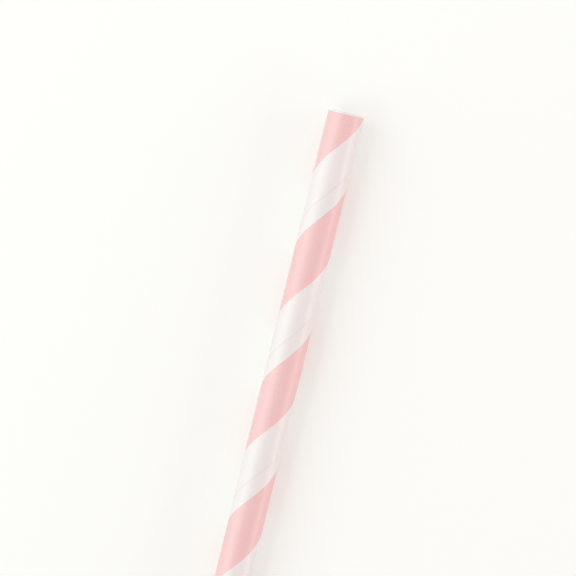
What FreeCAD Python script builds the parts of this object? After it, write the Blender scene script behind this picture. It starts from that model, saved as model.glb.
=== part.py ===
# Paper drinking straw, wound from strip at a steep spiral, glued and cut square at both ends.
#
# It lies on a level surface as it comes to rest. Its axis runs along Y with the drinking end towards +Y,
# and the origin is on the surface, under the middle of its length. Lengths are in millimetres.
#
# The plies are glued into one wall. What still shows of the winding is the seam of the outer ply, where
# the edges of neighbouring turns lie side by side with a hair's gap between them. It climbs round the
# straw by a strip's width, measured square to the edges, in each turn.
import FreeCAD, Part
import Sketcher
import math
import os

DRIVING_DIMENSIONS = [
    ("outside_diameter", 6.0),
    ("wall_thickness", 0.4),
    ("straw_length", 197.0),
    # The slit width of the outer ply decides how steeply it winds
    ("strip_width", 14.77),
    ("outer_ply_thickness", 0.1),
    ("seam_gap", 0.1),
    # On the line that faces up, from the drinking end down to the first seam
    ("first_seam_below_end", 13.45),
    # The knife rolls the edges of a cut end over
    ("cut_edge_radius_outside", 0.16),
    ("cut_edge_radius_inside", 0.08),
]

# A strip laid edge to edge climbs this far in a turn. Unrolled, the girth and the climb are the short
# sides of a triangle, and the strip's width is its height over the long side.
PITCH = (
    "(Dimensions.strip_width"
    " / sqrt(1 - (Dimensions.strip_width / (pi * Dimensions.outside_diameter)) ^ 2))"
)
# Enough turns of the seam to run past the lower end, whatever the straw's length
TURNS_BELOW_FIRST_SEAM = f"ceil(Dimensions.straw_length / {PITCH})"
# The gap is square to the seam, but its section is drawn along the axis, where it is longer
GAP_ALONG_AXIS = f"(Dimensions.seam_gap * {PITCH} / Dimensions.strip_width)"
# The seam's section stands out past the wall, so that the cut leaves no skin
OVERCUT = 0.2

# Names of points in a sketch, as its constraints count them
START, END, CENTRE = 1, 2, 3
HORIZONTAL_AXIS, VERTICAL_AXIS = -1, -2


def make_dimensions(doc):
    sheet = doc.addObject("Spreadsheet::Sheet", "Dimensions")
    for row, (alias, value) in enumerate(DRIVING_DIMENSIONS, start=1):
        sheet.set(f"A{row}", alias.replace("_", " "))
        sheet.set(f"B{row}", str(value))
        sheet.setAlias(f"B{row}", alias)
    doc.recompute()
    return sheet


def new_sketch(body, name, plane_role):
    plane = next(f for f in body.Origin.OriginFeatures if f.Role == plane_role)
    sketch = body.newObject("Sketcher::SketchObject", name)
    sketch.AttachmentSupport = [(plane, "")]
    sketch.MapMode = "FlatFace"
    return sketch


def bind(sketch, name, expression, *constraint):
    """Adds a named measure to a sketch and ties it to the sheet."""
    index = sketch.addConstraint(Sketcher.Constraint(*constraint))
    sketch.renameConstraint(index, name)
    sketch.setExpression(f"Constraints.{name}", expression)


def draw_wall_section(sketch, sheet):
    """Two circles about the straw's axis: its outside and its bore."""
    outer_radius = sheet.outside_diameter / 2
    inner_radius = outer_radius - sheet.wall_thickness
    along_axis = FreeCAD.Vector(0, 0, 1)
    outside = sketch.addGeometry(Part.Circle(FreeCAD.Vector(), along_axis, outer_radius), False)
    bore = sketch.addGeometry(Part.Circle(FreeCAD.Vector(), along_axis, inner_radius), False)
    for circle in (outside, bore):
        at_axis = ("Coincident", circle, CENTRE, HORIZONTAL_AXIS, START)
        sketch.addConstraint(Sketcher.Constraint(*at_axis))
    bind(sketch, "outside_radius", "Dimensions.outside_diameter / 2", "Radius", outside, outer_radius)
    bind(
        sketch,
        "bore_radius",
        "Dimensions.outside_diameter / 2 - Dimensions.wall_thickness",
        "Radius",
        bore,
        inner_radius,
    )


def draw_seam_section(sketch, sheet):
    """A rectangle through the outer ply, centred on the sketch's horizontal axis."""
    floor_radius = sheet.outside_diameter / 2 - sheet.outer_ply_thickness
    depth = sheet.outer_ply_thickness + OVERCUT
    gap = sheet.seam_gap
    corners = [
        FreeCAD.Vector(floor_radius, -gap / 2),
        FreeCAD.Vector(floor_radius + depth, -gap / 2),
        FreeCAD.Vector(floor_radius + depth, gap / 2),
        FreeCAD.Vector(floor_radius, gap / 2),
    ]
    lower, outer, upper, floor = sketch.addGeometry(
        [Part.LineSegment(corners[i], corners[(i + 1) % 4]) for i in range(4)], False
    )
    for side, following in ((lower, outer), (outer, upper), (upper, floor), (floor, lower)):
        sketch.addConstraint(Sketcher.Constraint("Coincident", side, END, following, START))
    sketch.addConstraint(Sketcher.Constraint("Horizontal", lower))
    sketch.addConstraint(Sketcher.Constraint("Horizontal", upper))
    sketch.addConstraint(Sketcher.Constraint("Vertical", outer))
    sketch.addConstraint(
        Sketcher.Constraint("Symmetric", floor, START, floor, END, HORIZONTAL_AXIS)
    )
    bind(sketch, "gap", GAP_ALONG_AXIS, "DistanceY", floor, END, floor, START, gap)
    bind(
        sketch,
        "depth",
        f"Dimensions.outer_ply_thickness + {OVERCUT}",
        "DistanceX",
        lower,
        START,
        lower,
        END,
        depth,
    )
    bind(
        sketch,
        "floor_radius",
        "Dimensions.outside_diameter / 2 - Dimensions.outer_ply_thickness",
        "DistanceX",
        HORIZONTAL_AXIS,
        START,
        floor,
        END,
        floor_radius,
    )


def wind_wall(body, sheet):
    section = new_sketch(body, "wall_section", "XY_Plane")
    draw_wall_section(section, sheet)
    wall = body.newObject("PartDesign::Pad", "wall")
    wall.Profile = section
    wall.setExpression("Length", "Dimensions.straw_length")
    section.Visibility = False
    body.Document.recompute()
    return wall


def round_cut_edges(body, base, name, circle_radius, size):
    """Rolls over the edges of one radius at both cut ends."""
    edges = [
        f"Edge{index}"
        for index, edge in enumerate(base.Shape.Edges, start=1)
        if isinstance(edge.Curve, Part.Circle) and math.isclose(edge.Curve.Radius, circle_radius)
    ]
    rounding = body.newObject("PartDesign::Fillet", name)
    rounding.Base = (base, edges)
    rounding.setExpression("Radius", size)
    body.Document.recompute()
    return rounding


def cut_seam(body, sheet):
    section = new_sketch(body, "seam_section", "XZ_Plane")
    draw_seam_section(section, sheet)
    section.setExpression(
        "AttachmentOffset.Base.y",
        "Dimensions.straw_length - Dimensions.first_seam_below_end"
        f" - {PITCH} * {TURNS_BELOW_FIRST_SEAM}",
    )
    seam = body.newObject("PartDesign::SubtractiveHelix", "outer_seam")
    seam.Profile = section
    seam.ReferenceAxis = (section, ["V_Axis"])
    seam.Mode = "pitch-height-angle"
    seam.setExpression("Pitch", PITCH)
    seam.setExpression("Height", f"{PITCH} * ({TURNS_BELOW_FIRST_SEAM} + 1)")
    seam.LeftHanded = False
    seam.Reversed = False
    section.Visibility = False
    body.Document.recompute()
    return seam


def check_seam(uncut, seam, sheet):
    """Compares what the seam took away with its section times its length on the straw."""
    pitch = seam.Pitch.Value
    middle_radius = (sheet.outside_diameter - sheet.outer_ply_thickness) / 2
    length = sheet.straw_length * math.hypot(1, 2 * math.pi * middle_radius / pitch)
    expected = sheet.seam_gap * sheet.outer_ply_thickness * length
    removed = uncut.Shape.Volume - seam.Shape.Volume
    print(f"pitch {pitch:.3f} mm, seam {length:.0f} mm long")
    print(f"seam removes {removed:.3f} mm3, expected about {expected:.3f} mm3")
    if not 0.85 < removed / expected < 1.15:
        raise RuntimeError("the seam doesn't follow the wall")


def lay_down(body):
    """Turns the straw's own axis from Z to Y, with its own X facing up, and rests it on the surface."""
    up = FreeCAD.Vector(0, 0, 1)
    across = FreeCAD.Vector(1, 0, 0)
    along = FreeCAD.Vector(0, 1, 0)
    body.Placement = FreeCAD.Placement(FreeCAD.Vector(), FreeCAD.Rotation(up, across, along, "XYZ"))
    body.setExpression("Placement.Base.y", "-Dimensions.straw_length / 2")
    body.setExpression("Placement.Base.z", "Dimensions.outside_diameter / 2")
    body.Document.recompute()


def make_straw(doc, sheet):
    straw = doc.addObject("PartDesign::Body", "straw")
    straw.Label = "straw"
    outer_radius = sheet.outside_diameter / 2
    inner_radius = outer_radius - sheet.wall_thickness
    wall = wind_wall(straw, sheet)
    outside = round_cut_edges(
        straw, wall, "outer_cut_edges", outer_radius, "Dimensions.cut_edge_radius_outside"
    )
    inside = round_cut_edges(
        straw, outside, "inner_cut_edges", inner_radius, "Dimensions.cut_edge_radius_inside"
    )
    seam = cut_seam(straw, sheet)
    check_seam(inside, seam, sheet)
    straw.Tip = seam
    lay_down(straw)
    return straw


def check_document(doc):
    for item in doc.Objects:
        if "Invalid" in item.State or "Error" in item.State:
            raise RuntimeError(f"{item.Label} is {item.State}")


def export(part):
    shape = part.Shape
    if shape.isNull() or not shape.isValid() or len(shape.Solids) != 1:
        raise RuntimeError(f"{part.Label} isn't one valid solid")
    os.makedirs("parts", exist_ok=True)
    shape.exportStep(os.path.join("parts", part.Label + ".step"))
    print(f"{part.Label}: {shape.Volume:.1f} mm3, {len(shape.Faces)} faces")


document = FreeCAD.newDocument("PaperStraw")
dimensions = make_dimensions(document)
drinking_straw = make_straw(document, dimensions)
check_document(document)
export(drinking_straw)
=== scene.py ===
# %% [markdown]
# # A paper drinking straw
#
# A paper straw is made of a few long strips of paper, wound one over the other round a rod like
# bandages, glued and cut to length. The outermost strip is printed. This script dresses the packed model
# of one straw. It keeps the model's place and size, gives the tube its wound surface and its print, and
# sets it on a pale card in soft light.

# %% Load the packed model and note the room that it takes
import math

import bpy
from mathutils import Matrix, Vector


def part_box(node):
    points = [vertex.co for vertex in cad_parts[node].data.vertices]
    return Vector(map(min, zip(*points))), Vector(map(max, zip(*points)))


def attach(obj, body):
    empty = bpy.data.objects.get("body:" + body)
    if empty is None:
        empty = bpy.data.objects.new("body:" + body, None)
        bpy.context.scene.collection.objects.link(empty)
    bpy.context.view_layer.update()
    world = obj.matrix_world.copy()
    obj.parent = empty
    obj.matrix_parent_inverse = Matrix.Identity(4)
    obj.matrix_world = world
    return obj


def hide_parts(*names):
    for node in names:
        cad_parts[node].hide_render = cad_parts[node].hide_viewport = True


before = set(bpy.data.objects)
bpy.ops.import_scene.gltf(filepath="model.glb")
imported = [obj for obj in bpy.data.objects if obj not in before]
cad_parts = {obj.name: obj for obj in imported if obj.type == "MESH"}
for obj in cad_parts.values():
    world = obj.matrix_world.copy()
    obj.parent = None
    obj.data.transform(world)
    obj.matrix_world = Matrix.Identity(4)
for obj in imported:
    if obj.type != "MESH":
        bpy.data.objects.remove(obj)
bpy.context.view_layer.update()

print("packed nodes:", sorted(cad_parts))

# %% [markdown]
# ## The straw's sizes
#
# The outer strip climbs by a fixed step in each turn, and one seam follows it from end to end. Everything
# on the straw hangs on a few numbers: how long and how wide it is, how thick the wall is, how wide the
# strip is, and where the first seam meets the line that faces up. Length and width come from the packed
# model, so the tube fits it exactly. All numbers are in metres.
#
# Unrolled, the straw's girth and the climb of a turn are the short sides of a triangle, and the strip's
# width is its height over the long side. That gives the climb.

# %% Sizes
MM = 0.001
FULL_TURN = 2 * math.pi

low_corner, high_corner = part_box("straw")
straw_length = high_corner.y - low_corner.y
half_length = straw_length / 2
outer_radius = (high_corner.z - low_corner.z) / 2
axis_height = low_corner.z + outer_radius

wall_thickness = 0.4 * MM
strip_width = 14.77 * MM
girth = FULL_TURN * outer_radius
turn_climb = strip_width / math.sqrt(1 - (strip_width / girth) ** 2)
first_seam_below_end = 13.45 * MM
# How far the edge of a turn stands up at the seam
raised_edge = 0.02 * MM
# The knife rolls the edges over, outside by a little more here than in the packed model
cut_rounding_outside = 0.24 * MM
cut_rounding_inside = 0.08 * MM

print(f"straw {straw_length / MM:.1f} mm long, {2 * outer_radius / MM:.2f} mm across")
print(f"a turn of the strip climbs {turn_climb / MM:.2f} mm")

# %% [markdown]
# ## A helper for node trees
#
# The tube's shape and its print both come from formulas, and in Blender a formula is a chain of small
# nodes. Wiring them one by one takes many lines, so this helper adds a node, sets it up and joins its
# inputs in one call. It is used for Geometry Nodes and for materials alike.

# %% Helper that adds and joins nodes
class NodeBench:
    """Adds nodes to a tree. An input is either another node's output or a plain value."""

    def __init__(self, tree):
        self.tree = tree

    def feed(self, socket, value):
        if isinstance(value, bpy.types.NodeSocket):
            self.tree.links.new(value, socket)
        else:
            socket.default_value = value

    def node(self, kind, inputs=None, **settings):
        made = self.tree.nodes.new(kind)
        for name, value in settings.items():
            setattr(made, name, value)
        for socket, value in (inputs or {}).items():
            self.feed(made.inputs[socket], value)
        return made

    def math(self, operation, *values):
        made = self.tree.nodes.new("ShaderNodeMath")
        made.operation = operation
        for socket, value in zip(made.inputs, values):
            self.feed(socket, value)
        return made.outputs[0]

    def add(self, *values):
        total = values[0]
        for value in values[1:]:
            total = self.math("ADD", total, value)
        return total

    def take(self, value, *taken):
        for amount in taken:
            value = self.math("SUBTRACT", value, amount)
        return value

    def times(self, *values):
        product = values[0]
        for value in values[1:]:
            product = self.math("MULTIPLY", product, value)
        return product

    def ramp(self, value, start, end, low=0.0, high=1.0, course="LINEAR"):
        """Goes from low to high while value goes from start to end, and is held at them outside."""
        made = self.tree.nodes.new("ShaderNodeMapRange")
        made.interpolation_type = course
        for socket, number in zip(made.inputs, (value, start, end, low, high)):
            self.feed(socket, number)
        return made.outputs[0]

    def ease(self, value, start, end, low=0.0, high=1.0):
        """The same, but it starts and stops gently."""
        return self.ramp(value, start, end, low, high, "SMOOTHSTEP")


print("helper ready:", [name for name in vars(NodeBench) if not name.startswith("_")])

# %% [markdown]
# Each tree here is a group with named inputs, like a machine with labelled dials. The next helper opens
# one and hands back its ways in and out. Both shapes below start as a flat grid, which is rolled into a
# tube by moving its points, so laying and rolling a grid are helpers too.

# %% Helpers that open a group, lay a grid and roll it up
FLOAT, INT, SHAPE = "NodeSocketFloat", "NodeSocketInt", "NodeSocketGeometry"
MATERIAL, VECTOR = "NodeSocketMaterial", "NodeSocketVector"


def open_tree(name, kind, takes, gives):
    """A new group with named inputs and outputs. takes maps a name to its socket type and value."""
    tree = bpy.data.node_groups.new(name, kind)
    for label, (socket_type, value) in takes.items():
        socket = tree.interface.new_socket(label, in_out="INPUT", socket_type=socket_type)
        if value is not None:
            socket.default_value = value
    for label, socket_type in gives.items():
        tree.interface.new_socket(label, in_out="OUTPUT", socket_type=socket_type)
    bench = NodeBench(tree)
    way_in = bench.node("NodeGroupInput").outputs
    way_out = bench.node("NodeGroupOutput").inputs
    return tree, bench, way_in, way_out


def lay_grid(b, columns, rows):
    """A flat grid, and how far a point of it lies along each of its sides, from 0 to 1."""
    points = {"Vertices X": b.add(columns, 1.0), "Vertices Y": b.add(rows, 1.0)}
    grid = b.node("GeometryNodeMeshGrid", {"Size X": 1.0, "Size Y": 1.0, **points})
    flat = b.node("ShaderNodeSeparateXYZ", {0: b.node("GeometryNodeInputPosition").outputs[0]})
    return grid.outputs["Mesh"], b.add(flat.outputs[0], 0.5), b.add(flat.outputs[1], 0.5)


def roll_up(b, grid, radius, across, up, along, axis_up, inside_out):
    """Moves a grid's points onto the straw and turns its faces over where that is asked for."""
    place = {0: b.times(radius, across), 1: along, 2: b.add(axis_up, b.times(radius, up))}
    rolled = b.node("ShaderNodeCombineXYZ", place)
    moved = b.node("GeometryNodeSetPosition", {"Geometry": grid, "Position": rolled.outputs[0]})
    turned = b.node("GeometryNodeFlipFaces", {"Mesh": moved.outputs[0], "Selection": inside_out})
    return turned.outputs[0]


print("groups take", FLOAT, INT, SHAPE, MATERIAL, VECTOR)

# %% [markdown]
# ## The wound wall
#
# One side of the tube's wall is a flat grid, rolled up. If its rows ran straight round, the seam would
# cross them at a slant and come out jagged, so each row climbs with the strip instead: going once round,
# it ends a whole turn higher, where another row starts. The seam then lies exactly on a row.
#
# Rows crowd together at the seam, where the paper's edge stands up by a fiftieth of a millimetre, and
# spread out over the plain paper between. Rows that would run past a cut end are held at it, and their
# points fall together there and are merged later.

# %% Rows that climb with the strip
def climb_with_strip(b, has, round_part, row):
    """How high a point lies along the straw, and how far above the nearest seam."""
    # The row's own height, in turns above the seam's start, drawn towards the seams
    turns_up = b.math("DIVIDE", row, has["Rows In A Turn"])
    sway = b.math("SINE", b.times(turns_up, FULL_TURN))
    drawn = b.take(turns_up, b.times(sway, has["Crowding"], 1 / FULL_TURN))
    climbed = b.times(b.add(drawn, round_part), has["Turn Climb"])
    height = b.math("MAXIMUM", b.add(has["Seam Start"], climbed), has["Lowest"])
    height = b.math("MINIMUM", height, has["Highest"])

    # A held point has moved, so the seam is found again from its height
    turns_here = b.math("DIVIDE", b.take(height, has["Seam Start"]), has["Turn Climb"])
    turns_here = b.take(turns_here, round_part)
    above_seam = b.take(turns_here, b.math("ROUND", turns_here))
    return height, b.times(above_seam, has["Turn Climb"])


print(f"going once round, a row climbs {turn_climb / MM:.2f} mm")

# %% [markdown]
# On the real straw one edge of the strip lies a hair above its neighbour, here more and there less, with
# a fine gap beside it. Seen from above that is the thin line of the seam. It is made in the mesh and not
# only drawn, because the raised edge catches the light from one side. The knife presses it flat at the
# cut ends.

# %% The raised edge and the gap beside it
# The edge stands up unevenly. The unevenness is read from a noise on a circle of this radius.
PATCH_CIRCLE = 3.0 * MM
PATCH_SCALE = 160.0
LEAST_OF_EDGE = 0.45
PRESSED_FLAT_OVER = 0.3 * MM


def raise_edge(b, has, height, above_seam, across, up):
    """How far a point of the wall stands out."""
    circle = {0: b.times(across, PATCH_CIRCLE), 1: height, 2: b.times(up, PATCH_CIRCLE)}
    place = b.node("ShaderNodeCombineXYZ", circle)
    patchy = b.node(
        "ShaderNodeTexNoise",
        {"Vector": place.outputs[0], "W": has["Seed"], "Scale": PATCH_SCALE, "Detail": 2.0},
        noise_dimensions="4D",
    )
    patchy = b.ramp(patchy.outputs[0], 0.3, 0.7, LEAST_OF_EDGE, 1.0)
    edge = b.ease(above_seam, has["Edge Reach"], has["Gap Half Width"])
    edge = b.times(edge, b.ramp(above_seam, 0.0, has["Gap Half Width"]), patchy, has["Edge Height"])
    from_seam = b.math("ABSOLUTE", above_seam)
    gap = b.times(b.ramp(from_seam, has["Gap Half Width"], 0.0), has["Gap Depth"])

    from_end = b.math("MINIMUM", b.take(height, has["Lowest"]), b.take(has["Highest"], height))
    pressed = b.ease(from_end, 0.0, PRESSED_FLAT_OVER)
    return b.times(b.take(edge, gap), pressed, has["Edge Direction"])


print(f"the edge stands up by {LEAST_OF_EDGE * raised_edge / MM:.3f} to {raised_edge / MM:.3f} mm")

# %% [markdown]
# The same tree makes both sides of the wall. Inside the tube the innermost ply has a seam of its own, and
# there the edge points inwards and the faces are turned over.

# %% Geometry Nodes tree of one side of the wall
def build_wound_wall():
    takes = {
        "Radius": (FLOAT, 3.0 * MM),
        "Edge Direction": (FLOAT, 1.0),
        "Lowest": (FLOAT, 0.0),
        "Highest": (FLOAT, 100.0 * MM),
        "Half Length": (FLOAT, 100.0 * MM),
        "Axis Height": (FLOAT, 3.0 * MM),
        "Turn Climb": (FLOAT, 20.0 * MM),
        "Seam Start": (FLOAT, 0.0),
        "Edge Height": (FLOAT, 0.02 * MM),
        "Edge Reach": (FLOAT, 0.6 * MM),
        "Gap Depth": (FLOAT, 0.05 * MM),
        "Gap Half Width": (FLOAT, 0.04 * MM),
        "Columns": (INT, 120),
        "Rows In A Turn": (INT, 32),
        "Turns": (INT, 10),
        "Crowding": (FLOAT, 0.95),
        "Seed": (FLOAT, 1.0),
    }
    tree, b, has, gives = open_tree("wound_wall", "GeometryNodeTree", takes, {"Wall": SHAPE})
    rows = b.times(has["Rows In A Turn"], has["Turns"])
    grid, round_part, up_part = lay_grid(b, has["Columns"], rows)
    height, above_seam = climb_with_strip(b, has, round_part, b.times(up_part, rows))

    angle = b.times(round_part, FULL_TURN)
    across = b.math("SINE", angle)
    up = b.math("COSINE", angle)
    radius = b.add(has["Radius"], raise_edge(b, has, height, above_seam, across, up))
    along = b.take(height, has["Half Length"])
    faces_in = b.math("LESS_THAN", has["Edge Direction"], 0.0)
    wall = roll_up(b, grid, radius, across, up, along, has["Axis Height"], faces_in)
    b.feed(gives["Wall"], wall)
    return tree


wound_wall = build_wound_wall()
print("wound_wall has", len(wound_wall.nodes), "nodes")

# %% [markdown]
# ## The cut ends
#
# A straw is cut off square, and the knife rolls the paper's edges over by a little. The section of that
# edge is a quarter circle outside, a flat, and a smaller quarter circle inside. A bevel on the tube's edge
# could make it, but it would have to find its way over the climbing rows of the wall. Here the section is
# one side of a grid and the way round is the other, with as many columns as the wall, so that the two
# meet point for point.

# %% The section of a cut end
OUTER_STEPS = 7
FLAT_STEPS = 5
INNER_STEPS = 5
QUARTER_TURN = math.pi / 2


def follow_section(b, has, section_part):
    """A point's radius and its place along the straw, from the outer wall over the edge into the bore."""
    steps = OUTER_STEPS + FLAT_STEPS + INNER_STEPS
    flat_from = float(OUTER_STEPS)
    flat_to = float(OUTER_STEPS + FLAT_STEPS)
    step = b.times(section_part, float(steps))
    over_outside = b.ramp(step, 0.0, flat_from, 0.0, QUARTER_TURN)
    over_flat = b.ramp(step, flat_from, flat_to)
    over_inside = b.ramp(step, flat_to, float(steps), 0.0, QUARTER_TURN)

    outer, inner = has["Outer Rounding"], has["Inner Rounding"]
    lean_in = b.times(outer, b.take(1.0, b.math("COSINE", over_outside)))
    flat_width = b.take(has["Outer Radius"], has["Inner Radius"], outer, inner)
    to_bore = b.times(inner, b.math("SINE", over_inside))
    inwards = b.add(lean_in, b.times(flat_width, over_flat), to_bore)

    # How far below the end's flat
    drop_outside = b.times(outer, b.take(1.0, b.math("SINE", over_outside)))
    drop_inside = b.times(inner, b.take(1.0, b.math("COSINE", over_inside)))
    out_along = b.take(has["Half Length"], b.add(drop_outside, drop_inside))
    return b.take(has["Outer Radius"], inwards), b.times(out_along, has["Toward"])


print("the section of a cut end has", OUTER_STEPS + FLAT_STEPS + INNER_STEPS, "steps")

# %% [markdown]
# The input Toward is 1 for the end that faces +Y and -1 for the other, whose faces are turned over so
# that they look outwards too.

# %% Geometry Nodes tree of a cut end
def build_cut_end():
    takes = {
        "Outer Radius": (FLOAT, 3.0 * MM),
        "Inner Radius": (FLOAT, 2.6 * MM),
        "Outer Rounding": (FLOAT, 0.16 * MM),
        "Inner Rounding": (FLOAT, 0.08 * MM),
        "Half Length": (FLOAT, 100.0 * MM),
        "Axis Height": (FLOAT, 3.0 * MM),
        "Toward": (FLOAT, 1.0),
        "Columns": (INT, 120),
    }
    tree, b, has, gives = open_tree("cut_end", "GeometryNodeTree", takes, {"End": SHAPE})
    steps = OUTER_STEPS + FLAT_STEPS + INNER_STEPS
    grid, round_part, section_part = lay_grid(b, has["Columns"], float(steps))
    radius, along = follow_section(b, has, section_part)
    angle = b.times(round_part, FULL_TURN)
    far_end = b.math("LESS_THAN", has["Toward"], 0.0)
    across = b.math("SINE", angle)
    up = b.math("COSINE", angle)
    end = roll_up(b, grid, radius, across, up, along, has["Axis Height"], far_end)
    b.feed(gives["End"], end)
    return tree


cut_end = build_cut_end()
print("cut_end has", len(cut_end.nodes), "nodes")

# %% [markdown]
# ## The whole tube
#
# The tube is the two sides of its wall and its two cut ends. Its base is a fiftieth of a millimetre
# inside the packed model's radius, and the strip's raised edge reaches out to it. The print is only on
# the outside, so those faces are marked.

# %% Sides and ends of the tube
SPARE_TURNS = 2.0
OUTSIDE_ROWS = 32
INSIDE_ROWS = 20
# The inner ply's edge stands up less, and its unevenness is another
INNER_EDGE_SHARE = 0.5
INNER_SEED_STEP = 5.0


def add_walls(b, has, common, base_radius, bore_radius):
    """The outside of the wall, marked for the print, and its inside."""
    # The seam is counted down from the first one to below the lower end
    turns_down = b.math("CEIL", b.math("DIVIDE", has["Length"], has["Turn Climb"]))
    seam_start = b.take(has["Length"], has["First Seam Below End"])
    seam_start = b.take(seam_start, b.times(turns_down, has["Turn Climb"]))
    winding = {**common, "Turn Climb": has["Turn Climb"], "Turns": b.add(turns_down, SPARE_TURNS)}
    of_outside = {
        "Radius": base_radius,
        "Edge Direction": 1.0,
        "Lowest": has["Outer Rounding"],
        "Highest": b.take(has["Length"], has["Outer Rounding"]),
        "Seam Start": seam_start,
        "Edge Height": has["Edge Height"],
        "Rows In A Turn": OUTSIDE_ROWS,
        "Seed": has["Seed"],
    }
    # The plies lie half a turn apart, so that no seam lies over another
    of_inside = {
        "Radius": bore_radius,
        "Edge Direction": -1.0,
        "Lowest": has["Inner Rounding"],
        "Highest": b.take(has["Length"], has["Inner Rounding"]),
        "Seam Start": b.take(seam_start, b.times(has["Turn Climb"], 0.5)),
        "Edge Height": b.times(has["Edge Height"], INNER_EDGE_SHARE),
        "Rows In A Turn": INSIDE_ROWS,
        "Seed": b.add(has["Seed"], INNER_SEED_STEP),
    }
    outside = b.node("GeometryNodeGroup", node_tree=wound_wall)
    inside = b.node("GeometryNodeGroup", node_tree=wound_wall)
    for side, own in ((outside, of_outside), (inside, of_inside)):
        for name, value in {**winding, **own}.items():
            b.feed(side.inputs[name], value)
    marked = b.node(
        "GeometryNodeStoreNamedAttribute",
        {"Geometry": outside.outputs["Wall"], "Name": "printed_side", "Value": True},
        data_type="BOOLEAN",
        domain="FACE",
    )
    return marked.outputs[0], inside.outputs["Wall"]


def add_end(b, has, common, base_radius, bore_radius, toward):
    cut = b.node("GeometryNodeGroup", node_tree=cut_end)
    own = {
        "Outer Radius": base_radius,
        "Inner Radius": bore_radius,
        "Outer Rounding": has["Outer Rounding"],
        "Inner Rounding": has["Inner Rounding"],
        "Toward": toward,
    }
    for name, value in {**common, **own}.items():
        b.feed(cut.inputs[name], value)
    return cut.outputs["End"]


print("rows in a turn:", OUTSIDE_ROWS, "outside and", INSIDE_ROWS, "inside")

# %% [markdown]
# The four pieces are joined, and points that fall together are merged, which closes them into one skin.
# The marked faces then take the printed material, and the rest shows bare paper.

# %% Geometry Nodes tree of the straw
MERGE_WITHIN = 0.001 * MM


def build_straw_tube():
    takes = {
        "Length": (FLOAT, 200.0 * MM),
        "Outer Radius": (FLOAT, 3.0 * MM),
        "Wall": (FLOAT, 0.4 * MM),
        "Axis Height": (FLOAT, 3.0 * MM),
        "Turn Climb": (FLOAT, 20.0 * MM),
        "First Seam Below End": (FLOAT, 10.0 * MM),
        "Edge Height": (FLOAT, 0.02 * MM),
        "Outer Rounding": (FLOAT, 0.16 * MM),
        "Inner Rounding": (FLOAT, 0.08 * MM),
        "Columns": (INT, 120),
        "Seed": (FLOAT, 7.0),
        "Bare Paper": (MATERIAL, None),
        "Printed Paper": (MATERIAL, None),
    }
    tree, b, has, gives = open_tree("paper_straw_tube", "GeometryNodeTree", takes, {"Straw": SHAPE})
    base_radius = b.take(has["Outer Radius"], has["Edge Height"])
    bore_radius = b.take(has["Outer Radius"], has["Wall"])
    common = {
        "Half Length": b.times(has["Length"], 0.5),
        "Axis Height": has["Axis Height"],
        "Columns": has["Columns"],
    }
    outside, inside = add_walls(b, has, common, base_radius, bore_radius)
    upper = add_end(b, has, common, base_radius, bore_radius, 1.0)
    lower = add_end(b, has, common, base_radius, bore_radius, -1.0)
    joined = b.node("GeometryNodeJoinGeometry")
    for piece in (outside, inside, upper, lower):
        tree.links.new(piece, joined.inputs[0])
    near = {"Geometry": joined.outputs[0], "Distance": MERGE_WITHIN}
    merged = b.node("GeometryNodeMergeByDistance", near)
    smooth = b.node("GeometryNodeSetShadeSmooth", {"Geometry": merged.outputs[0], "Shade Smooth": True})
    real = b.node("GeometryNodeRealizeInstances", {"Geometry": smooth.outputs[0]})
    all_bare = {"Geometry": real.outputs[0], "Material": has["Bare Paper"]}
    bare = b.node("GeometryNodeSetMaterial", all_bare)
    is_printed = b.node("GeometryNodeInputNamedAttribute", {"Name": "printed_side"}, data_type="BOOLEAN")
    printed = b.node(
        "GeometryNodeSetMaterial",
        {
            "Geometry": bare.outputs[0],
            "Selection": is_printed.outputs["Attribute"],
            "Material": has["Printed Paper"],
        },
    )
    b.feed(gives["Straw"], printed.outputs[0])
    return tree


straw_tube = build_straw_tube()
print("paper_straw_tube takes", [item.name for item in straw_tube.interface.items_tree])

# %% [markdown]
# ## Where a point lies on the strip
#
# Ink and fibres belong to the flat strip, before it was wound. This shader group unwinds the tube: from
# a point's place on the straw it works out how far across the strip the point lies, from 0 at one edge
# to 1 at the other, and its place on the flat strip in metres. A pattern made with these runs along the
# strip, goes on round the back, and breaks at the seam as the paper itself does. A UV map could hold the
# same, but the formula also serves the bore and needs no cut in the mesh.

# %% Shader group that unwinds the tube
strip_lean = math.atan2(turn_climb, girth)


def build_place_on_strip():
    takes = {
        "Point": (VECTOR, None),
        "Radius": (FLOAT, outer_radius),
        "Seam Below End": (FLOAT, first_seam_below_end),
    }
    gives_out = {"Across": FLOAT, "Flat Place": VECTOR}
    tree, b, has, gives = open_tree("place_on_strip", "ShaderNodeTree", takes, gives_out)
    point = b.node("ShaderNodeSeparateXYZ", {0: has["Point"]})
    above_axis = b.take(point.outputs[2], axis_height)
    angle = b.math("ARCTAN2", point.outputs[0], above_axis)
    below_seam = b.take(half_length, point.outputs[1], has["Seam Below End"])
    turns_down = b.math("DIVIDE", below_seam, turn_climb)
    turns = b.add(turns_down, b.times(angle, 1 / FULL_TURN))
    turn = b.math("FLOOR", turns)
    across = b.take(turns, turn)

    # The angle goes on from turn to turn, so the place along the strip does too
    wound = b.take(angle, b.times(turn, FULL_TURN))
    from_winding = b.times(wound, has["Radius"], math.cos(strip_lean))
    from_height = b.times(point.outputs[1], math.sin(strip_lean))
    place = {0: b.add(from_winding, from_height), 1: b.times(across, strip_width), 2: 0.0}
    flat = b.node("ShaderNodeCombineXYZ", place)
    b.feed(gives["Across"], across)
    b.feed(gives["Flat Place"], flat.outputs[0])
    return tree


place_on_strip = build_place_on_strip()
print("the strip leans", round(math.degrees(strip_lean), 1), "degrees from square")

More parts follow.
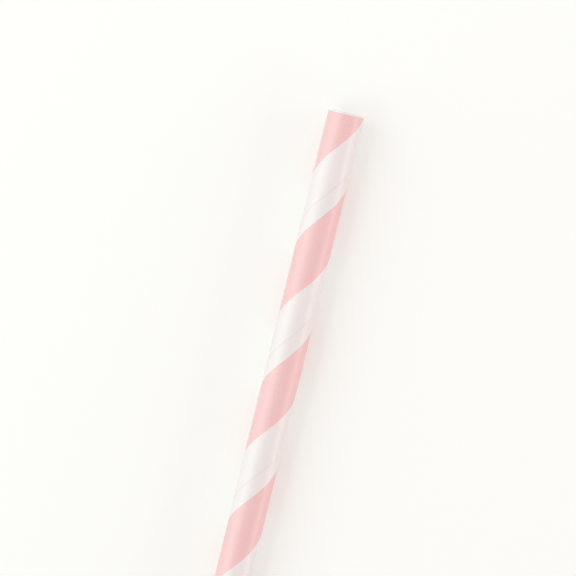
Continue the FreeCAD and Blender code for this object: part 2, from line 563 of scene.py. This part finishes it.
# %% [markdown]
# ## The paper's own surface
#
# Uncoated paper is felted from short fibres that mostly lie along the strip. From near by the fibres
# give it a fine tooth, and over a millimetre or so the sheet is a little cloudy, because the fibres are
# not spread evenly. A picture of paper could give that, but it would repeat along the straw. So this
# group mixes three noises on the flat strip, drawn out along it, and gives every paper surface a tone, a
# height for the tooth, and a roughness.

# %% Shader group for paper
# The stretch along the strip, the scale and the detail of each noise
FIBRES = (0.22, 9000.0, 3.0)
TUFTS = (0.5, 3200.0, 2.0)
CLOUDS = (0.7, 700.0, 3.0)


def build_paper_surface():
    takes = {"Place": (VECTOR, None), "Tooth": (FLOAT, 1.0), "Roughness": (FLOAT, 0.5)}
    gives_out = {"Tone": FLOAT, "Height": FLOAT, "Roughness": FLOAT}
    tree, b, has, gives = open_tree("paper_surface", "ShaderNodeTree", takes, gives_out)

    def drawn_noise(stretch, scale, detail):
        placed = b.node("ShaderNodeMapping", {"Vector": has["Place"], "Scale": (stretch, 1.0, 1.0)})
        settings = {"Vector": placed.outputs[0], "Scale": scale, "Detail": detail, "Roughness": 0.6}
        return b.node("ShaderNodeTexNoise", settings).outputs[0]

    fibres = drawn_noise(*FIBRES)
    tufts = drawn_noise(*TUFTS)
    clouds = drawn_noise(*CLOUDS)

    # The tone strays from 1 by two or three hundredths
    tone = b.add(
        b.ramp(clouds, 0.3, 0.7, -0.008, 0.006),
        b.ramp(tufts, 0.25, 0.75, -0.012, 0.01),
        b.ramp(fibres, 0.25, 0.75, -0.012, 0.012),
        1.0,
    )
    height = b.add(b.times(fibres, 0.6), b.times(tufts, 0.4))
    rough = b.add(has["Roughness"], b.ramp(tufts, 0.25, 0.75, -0.04, 0.04))
    b.feed(gives["Tone"], tone)
    b.feed(gives["Height"], b.times(height, has["Tooth"]))
    b.feed(gives["Roughness"], rough)
    return tree


paper_surface = build_paper_surface()
print("paper_surface gives", [s.name for s in paper_surface.interface.items_tree if s.in_out == "OUTPUT"])

# %% [markdown]
# ## Paper and light
#
# Pressed paper scatters most of the light at its surface and keeps a soft sheen at a slant. Some light
# also enters, and comes out a little further on or through the wall, so the inside of a white straw isn't
# dark. Subsurface scattering stands in for that, with red reaching a little further than blue. The
# printed side goes without it, so that the stripe stays sharp.

# %% A paper's shader
PAPER_WHITE = (0.905, 0.83, 0.813, 1.0)
TOOTH_HEIGHT = 0.02 * MM
PAPER_IOR = 1.5
SHEEN_LEVEL = 1.0
LIGHT_REACH = 1.2 * MM
REACH_BY_COLOUR = (1.0, 0.92, 0.88)


def new_material(name):
    material = bpy.data.materials.new(name)
    material.use_nodes = True
    material.node_tree.nodes.clear()
    return material, NodeBench(material.node_tree)


def mix_colours(b, factor, first, second, blend="MIX"):
    made = b.node("ShaderNodeMix", data_type="RGBA", blend_type=blend)
    for socket, value in ((0, factor), (6, first), (7, second)):
        b.feed(made.inputs[socket], value)
    return made.outputs[2]


def finish_paper(b, colour, paper, light_through):
    """Joins a colour and the paper's tone, roughness and tooth to a shader."""
    toned = mix_colours(b, 1.0, colour, paper.outputs["Tone"], "MULTIPLY")
    tooth = {"Strength": 1.0, "Distance": TOOTH_HEIGHT, "Height": paper.outputs["Height"]}
    bump = b.node("ShaderNodeBump", tooth)
    shader = b.node(
        "ShaderNodeBsdfPrincipled",
        {
            "Base Color": toned,
            "Roughness": paper.outputs["Roughness"],
            "Normal": bump.outputs[0],
            "IOR": PAPER_IOR,
            "Specular IOR Level": SHEEN_LEVEL,
            "Subsurface Weight": light_through,
            "Subsurface Radius": REACH_BY_COLOUR,
            "Subsurface Scale": LIGHT_REACH,
        },
    )
    b.node("ShaderNodeOutputMaterial", {"Surface": shader.outputs[0]})


print("paper white", PAPER_WHITE[:3], "and its tooth", TOOTH_HEIGHT / MM, "mm")

# %% [markdown]
# ## Printed paper
#
# The strip is white with one band of pink ink along it, as wide as the white beside it, so that the
# wound straw shows an even spiral. The band's place is known from the edges of the strip. The ink sinks
# into uncoated paper, so its border is a touch soft and not quite straight, and the colour has a fine
# grain where fibres took more or less of it. The stripe could be faces of another material, but faces
# can't be soft at the border, so it is a mask.

# %% The band of ink
INK_PINK = (0.922, 0.554, 0.544, 1.0)
# Across the strip, from 0 at its upper edge to 1 at its lower one
PINK_FROM, PINK_TO = 0.162, 0.665
BORDER_SOFTNESS = 0.05 * MM / strip_width
BORDER_WANDER = 0.0022
BORDER_NOISE_SCALE = 2600.0
# The least and the most ink that the fine grain and the wider patches leave
GRAIN_SCALE = 3000.0
GRAIN_INK = (0.84, 1.1)
PATCH_OF_INK_SCALE = 450.0
PATCH_OF_INK = (0.975, 1.02)


def mask_of_ink(b, place):
    """How much ink a point carries."""

    def noise(scale, detail):
        settings = {"Vector": place.outputs["Flat Place"], "Scale": scale, "Detail": detail}
        return b.node("ShaderNodeTexNoise", settings).outputs[0]

    # The border of the ink wanders by a few hundredths of a millimetre
    wander = b.ramp(noise(BORDER_NOISE_SCALE, 3.0), 0.25, 0.75, -BORDER_WANDER, BORDER_WANDER)
    across = b.add(place.outputs["Across"], wander)
    starts = b.ease(across, PINK_FROM - BORDER_SOFTNESS, PINK_FROM + BORDER_SOFTNESS)
    stops = b.ease(across, PINK_TO - BORDER_SOFTNESS, PINK_TO + BORDER_SOFTNESS, 1.0, 0.0)
    grain = b.ramp(noise(GRAIN_SCALE, 3.0), 0.25, 0.75, *GRAIN_INK)
    patches = b.ramp(noise(PATCH_OF_INK_SCALE, 2.0), 0.3, 0.7, *PATCH_OF_INK)
    return b.times(starts, stops, grain, patches)


print(f"the band of ink is {(PINK_TO - PINK_FROM) * strip_width / MM:.2f} mm wide")

# %% [markdown]
# Where two turns of the strip meet, a thin darker line is painted in. It is painted shade, for the shade
# in the gap at the seam. The outside of the straw is pressed smoother than its inside.

# %% Printed paper
# Painted shade: the colour, width and strength of the darker line painted along the seam's gap
SEAM_SHADE_COLOUR = (0.66, 0.58, 0.56, 1.0)
SEAM_SHADE_HALF_WIDTH = 0.05 * MM / strip_width
SEAM_SHADE_STRENGTH = 0.22
PRESSED_ROUGHNESS = 0.42


def build_printed_paper():
    material, b = new_material("printed_paper_outside")
    place = b.node("ShaderNodeGroup", node_tree=place_on_strip)
    b.feed(place.inputs["Point"], b.node("ShaderNodeTexCoord").outputs["Object"])
    paper = b.node("ShaderNodeGroup", node_tree=paper_surface)
    b.feed(paper.inputs["Place"], place.outputs["Flat Place"])
    paper.inputs["Roughness"].default_value = PRESSED_ROUGHNESS

    printed = mix_colours(b, mask_of_ink(b, place), PAPER_WHITE, INK_PINK)
    across = place.outputs["Across"]
    from_seam = b.math("ABSOLUTE", b.take(across, b.math("ROUND", across)))
    # Painted shade along the seam, where the gap would lie in shade
    painted_seam_shade = b.ease(from_seam, SEAM_SHADE_HALF_WIDTH * 0.5, SEAM_SHADE_HALF_WIDTH * 1.5, 1.0, 0.0)
    printed = mix_colours(b, b.times(painted_seam_shade, SEAM_SHADE_STRENGTH), printed, SEAM_SHADE_COLOUR)
    finish_paper(b, printed, paper, light_through=0.0)
    return material


printed_paper = build_printed_paper()
print("printed paper has", len(printed_paper.node_tree.nodes), "nodes")

# %% [markdown]
# ## Bare paper
#
# Inside the straw and on its cut ends the paper carries no ink. On the cut face the plies show edge on,
# as rings a little darker where one ply is glued to the next. Their radii are known from the wall: the
# outer ply is a tenth of a millimetre thick and the others are like it. Glue fills the joints, so there
# is no groove to model, and a thin line of colour at each radius is enough.

# %% Glue lines on the cut face
PLY_THICKNESS = 0.1 * MM
GLUE_LINE_HALF_WIDTH = 0.012 * MM
GLUE_GREY = (0.62, 0.56, 0.53, 1.0)
GLUE_STRENGTH = 0.35


def mask_of_glue(b, point):
    """How strongly a glue line shows at a point."""
    parts = b.node("ShaderNodeSeparateXYZ", {0: point})
    above_axis = b.take(parts.outputs[2], axis_height)
    squared = b.add(b.times(parts.outputs[0], parts.outputs[0]), b.times(above_axis, above_axis))
    from_outside = b.take(outer_radius, b.math("SQRT", squared))
    plies_in = b.math("DIVIDE", from_outside, PLY_THICKNESS)
    from_glue = b.math("ABSOLUTE", b.take(plies_in, b.math("ROUND", plies_in)))
    line = GLUE_LINE_HALF_WIDTH / PLY_THICKNESS
    glue = b.ease(from_glue, line * 0.4, line * 2.2, 1.0, 0.0)
    # Neither the outer skin nor the bore is a glue line
    within = b.times(b.ease(plies_in, 0.5, 0.7), b.ease(plies_in, 3.3, 3.5, 1.0, 0.0))
    return b.times(glue, within, GLUE_STRENGTH)


print("plies in the wall:", round(wall_thickness / PLY_THICKNESS))

# %% [markdown]
# Inside, the fibres follow the innermost ply, which is wound like the outer one but lies half a turn
# away and on a smaller radius.

# %% Bare paper
BARE_ROUGHNESS = 0.55


def build_bare_paper():
    material, b = new_material("bare_paper")
    point = b.node("ShaderNodeTexCoord").outputs["Object"]
    place = b.node("ShaderNodeGroup", node_tree=place_on_strip)
    b.feed(place.inputs["Point"], point)
    place.inputs["Radius"].default_value = outer_radius - wall_thickness
    place.inputs["Seam Below End"].default_value = first_seam_below_end + turn_climb / 2
    paper = b.node("ShaderNodeGroup", node_tree=paper_surface)
    # On the cut face the place on the strip is the same all through the wall, so the point is added
    mixed = b.node("ShaderNodeVectorMath", {0: place.outputs["Flat Place"], 1: point})
    b.feed(paper.inputs["Place"], mixed.outputs[0])
    paper.inputs["Roughness"].default_value = BARE_ROUGHNESS
    colour = mix_colours(b, mask_of_glue(b, point), PAPER_WHITE, GLUE_GREY)
    finish_paper(b, colour, paper, light_through=1.0)
    return material


bare_paper = build_bare_paper()
print("bare paper has", len(bare_paper.node_tree.nodes), "nodes")

# %% [markdown]
# ## Wind the straw
#
# The tree is put on an empty mesh and its inputs are set from the sizes above. It could stay a live
# modifier, but a plain mesh is what other programs can read, so the result is copied into one and the
# modifier goes.

# %% Build the tube
def wind_straw():
    maker = bpy.data.objects.new("straw_maker", bpy.data.meshes.new("starter"))
    bpy.context.collection.objects.link(maker)
    modifier = maker.modifiers.new("Wind the straw", "NODES")
    modifier.node_group = straw_tube
    values = {
        "Length": straw_length,
        "Outer Radius": outer_radius,
        "Wall": wall_thickness,
        "Axis Height": axis_height,
        "Turn Climb": turn_climb,
        "First Seam Below End": first_seam_below_end,
        "Edge Height": raised_edge,
        "Outer Rounding": cut_rounding_outside,
        "Inner Rounding": cut_rounding_inside,
        "Columns": 120,
        "Seed": 7.0,
        "Bare Paper": bare_paper,
        "Printed Paper": printed_paper,
    }
    for item in straw_tube.interface.items_tree:
        if item.in_out == "INPUT":
            modifier[item.identifier] = values[item.name]
    bpy.context.view_layer.update()
    evaluated = maker.evaluated_get(bpy.context.evaluated_depsgraph_get())
    mesh = bpy.data.meshes.new_from_object(evaluated)
    maker.modifiers.remove(modifier)
    bpy.data.objects.remove(maker)
    mesh.name = "paper_straw"
    # A slot that no face uses can be left without a material, and it goes
    for index in reversed(range(len(mesh.materials))):
        if mesh.materials[index] is None:
            mesh.materials.pop(index=index)
    mesh.attributes.remove(mesh.attributes["printed_side"])
    straw = bpy.data.objects.new("paper_straw", mesh)
    bpy.context.collection.objects.link(straw)
    return straw


paper_straw = wind_straw()
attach(paper_straw, "root")
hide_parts("straw")
print("paper_straw has", len(paper_straw.data.vertices), "points and takes the solid's place")

# %% [markdown]
# These checks are the ones that matter for a tube: every edge has two faces and the skin faces outwards.
# The size on each axis is printed too.

# %% Check the tube
def count_open_edges(mesh):
    faces_on_edge = {}
    for polygon in mesh.polygons:
        for edge in polygon.edge_keys:
            faces_on_edge[edge] = faces_on_edge.get(edge, 0) + 1
    return sum(1 for count in faces_on_edge.values() if count != 2)


def measure_volume(mesh):
    """The volume inside a closed skin. It is negative when the skin faces inwards."""
    volume = 0.0
    for triangle in mesh.loop_triangles:
        a, b, c = (mesh.vertices[i].co for i in triangle.vertices)
        volume += a.dot(b.cross(c)) / 6
    return volume


tube_mesh = paper_straw.data
tube_mesh.calc_loop_triangles()
open_edges = count_open_edges(tube_mesh)
tube_volume = measure_volume(tube_mesh)
for axis, label in enumerate("xyz"):
    side = [vertex.co[axis] / MM for vertex in tube_mesh.vertices]
    print(f"{label} from {min(side):.3f} to {max(side):.3f} mm")
for index, material in enumerate(tube_mesh.materials):
    faces = sum(1 for polygon in tube_mesh.polygons if polygon.material_index == index)
    print(f"{material.name} on {faces} faces")
print(len(tube_mesh.loop_triangles), "triangles,", open_edges, "edges without two faces")
print(f"volume {tube_volume / MM**3:.1f} mm3")
if open_edges or tube_volume <= 0:
    raise RuntimeError("the tube isn't a closed skin that faces out")

# %% [markdown]
# ## The card
#
# The straw lies on a smooth pale card, large enough to fill the view. A camera ray sees it close to
# white, as in the photograph, while the light that it passes on and the shadow on it stay those of a
# pale card. Paint as white as that would throw too much light up at the straw and leave it without a
# dark side. So the lift towards white is a weak glow that only rays ending in the eye can see.

# %% The card's material
CARD_COLOUR = (0.66, 0.665, 0.64, 1.0)
LIFT_COLOUR = (1.0, 0.99, 0.965, 1.0)
LIFT_STRENGTH = 0.37
SPECKLE_SCALE = 900.0
SPECKLE_TONES = (0.99, 1.0)
CARD_ROUGHNESS = (0.62, 0.7)


def rays_that_see(b):
    """One for rays that end in the eye: straight ones and those seen in gloss or through glass."""
    path = b.node("ShaderNodeLightPath").outputs
    seen = b.math("MAXIMUM", path["Is Camera Ray"], path["Is Glossy Ray"])
    return b.math("MAXIMUM", seen, path["Is Transmission Ray"])


def build_card():
    material, b = new_material("pale_card")
    point = b.node("ShaderNodeTexCoord").outputs["Object"]
    speckle = b.node("ShaderNodeTexNoise", {"Vector": point, "Scale": SPECKLE_SCALE, "Detail": 3.0})
    tone = b.ramp(speckle.outputs[0], 0.3, 0.7, *SPECKLE_TONES)
    shader = b.node(
        "ShaderNodeBsdfPrincipled",
        {
            "Base Color": mix_colours(b, 1.0, CARD_COLOUR, tone, "MULTIPLY"),
            "Roughness": b.ramp(speckle.outputs[0], 0.3, 0.7, *CARD_ROUGHNESS),
            "Emission Color": LIFT_COLOUR,
            "Emission Strength": b.times(rays_that_see(b), LIFT_STRENGTH),
        },
    )
    b.node("ShaderNodeOutputMaterial", {"Surface": shader.outputs[0]})
    return material


pale_card = build_card()
print("pale card has", len(pale_card.node_tree.nodes), "nodes")

# %% [markdown]
# The card itself is one square face at the height on which the straw lies. It is only there for the
# picture and isn't part of the object.

# %% Lay the card
CARD_SIDE = 1.6

half_side = CARD_SIDE / 2
corners = [
    (-half_side, -half_side, 0.0),
    (half_side, -half_side, 0.0),
    (half_side, half_side, 0.0),
    (-half_side, half_side, 0.0),
]
card_mesh = bpy.data.meshes.new("card")
card_mesh.from_pydata(corners, [], [(0, 1, 2, 3)])
card = bpy.data.objects.new("card", card_mesh)
card.data.materials.append(pale_card)
bpy.context.collection.objects.link(card)
print("card", CARD_SIDE, "m wide at z", card.location.z)

# %% [markdown]
# ## Light
#
# The straw is bright along its left flank, darkest a little right of the middle, and brighter again
# towards the right. That is the light of a large soft source on the left and a narrower, lower one on
# the right, over an even light from all round. The world gives the even part. It is a little warm, which
# tints the shade on the white paper. A camera ray that misses the card sees plain white.

# %% The even light
ROOM_LIGHT = 0.498
ROOM_COLOUR = (1.0, 0.895, 0.881, 1.0)
PLAIN_WHITE = (1.0, 1.0, 1.0, 1.0)


def build_world():
    world = bpy.data.worlds.new("white_surround")
    world.use_nodes = True
    world.node_tree.nodes.clear()
    b = NodeBench(world.node_tree)
    seen = rays_that_see(b)
    strength = b.add(b.times(seen, 1.0 - ROOM_LIGHT), ROOM_LIGHT)
    colour = mix_colours(b, seen, ROOM_COLOUR, PLAIN_WHITE)
    light = b.node("ShaderNodeBackground", {"Color": colour, "Strength": strength})
    b.node("ShaderNodeOutputWorld", {"Surface": light.outputs[0]})
    return world


bpy.context.scene.world = build_world()
print("even light at", ROOM_LIGHT, "of white")

# %% [markdown]
# The two side lamps are long and lie along the straw, far longer than what the camera sees of it, so
# that no end of a reflection shows on the paper. The left one is a little cool, which keeps the lit side
# of the white neutral in the warm room. A third, weak lamp stands beyond the drinking end and lights the
# cut. One lamp overhead would be simpler, but it would leave both flanks dark.

# %% Lamps
LIT_POINT = Vector((0.0, 0.05, axis_height))
BEYOND_END = Vector((0.0, 1.0, 0.5))
LAMP_DISTANCE = 1.0
# Degrees from straight up, towards +X
LEFT_ANGLE = -55.0
RIGHT_ANGLE = 76.0
NEUTRAL = (1.0, 1.0, 1.0)
COOL = (0.85, 1.0, 1.0)


def beside_straw(angle):
    turn = math.radians(angle)
    return LIT_POINT + LAMP_DISTANCE * Vector((math.sin(turn), 0.0, math.cos(turn)))


def add_lamp(name, place, width, height, watts, colour=NEUTRAL):
    """A soft rectangular lamp, aimed at the straw. Its width lies level."""
    lamp = bpy.data.lights.new(name, "AREA")
    lamp.shape = "RECTANGLE"
    lamp.size = width
    lamp.size_y = height
    lamp.energy = watts
    lamp.color = colour
    holder = bpy.data.objects.new(name, lamp)
    holder.location = place
    holder.rotation_euler = (LIT_POINT - place).to_track_quat("-Z", "Y").to_euler()
    holder.visible_camera = False
    bpy.context.collection.objects.link(holder)
    return holder


lamps = [
    add_lamp("left_light", beside_straw(LEFT_ANGLE), width=1.6, height=1.1, watts=8.1, colour=COOL),
    add_lamp("right_light", beside_straw(RIGHT_ANGLE), width=1.6, height=0.5, watts=4.6),
    add_lamp("end_light", LIT_POINT + BEYOND_END, width=1.0, height=0.6, watts=2.6),
]
print("lamps at", [tuple(round(c, 2) for c in lamp.location) for lamp in lamps])

# %% [markdown]
# ## Camera
#
# A camera can be placed by eye, but a spiral stripe shows every error in its lean. So its place was
# worked out from the photograph: from the straw's two outlines, which draw together with distance, and
# from the shape of the stripe. The straw lies flat, and the camera looks down on it from a little over
# a quarter of a metre, nearly level with the cut of its drinking end. It is turned so that the straw
# leans to the right and runs out of the picture below.

# %% Camera
# The middle of the drinking end and the way down the straw, as the camera sees them: right, down, ahead
TOP_END = Vector((9.5093, -28.4106, 272.2642)) * MM
DOWN_STRAW = Vector((-0.23558, 0.96451, 0.11926)).normalized()
SENSOR_WIDTH = 36.0
FOCAL_LENGTH = 105.0


def place_camera():
    along = -DOWN_STRAW
    up = -(TOP_END - DOWN_STRAW * TOP_END.dot(DOWN_STRAW)).normalized()
    across = along.cross(up)
    # Each of these is one direction of the camera's, given in the room's X, Y and Z
    right, down, ahead = (Vector((across[i], along[i], up[i])) for i in range(3))
    end_here = Vector((0.0, half_length, axis_height))
    place = end_here - Vector((TOP_END.dot(across), TOP_END.dot(along), TOP_END.dot(up)))
    lens = bpy.data.cameras.new("camera")
    lens.sensor_width = SENSOR_WIDTH
    lens.lens = FOCAL_LENGTH
    lens.clip_start = 0.01
    lens.clip_end = 20.0
    camera = bpy.data.objects.new("camera", lens)
    turned = Matrix((right, -down, -ahead)).transposed().to_4x4()
    camera.matrix_world = Matrix.Translation(place) @ turned
    bpy.context.collection.objects.link(camera)
    return camera


camera = place_camera()
scene = bpy.context.scene
scene.camera = camera
scene.view_settings.view_transform = "Standard"
print("camera at", [round(c, 4) for c in camera.location], "m")

# %% [markdown]
# ## Size
#
# The dressed straw takes nearly the same room as the packed model: the two differ by a few thousandths
# of a millimetre.
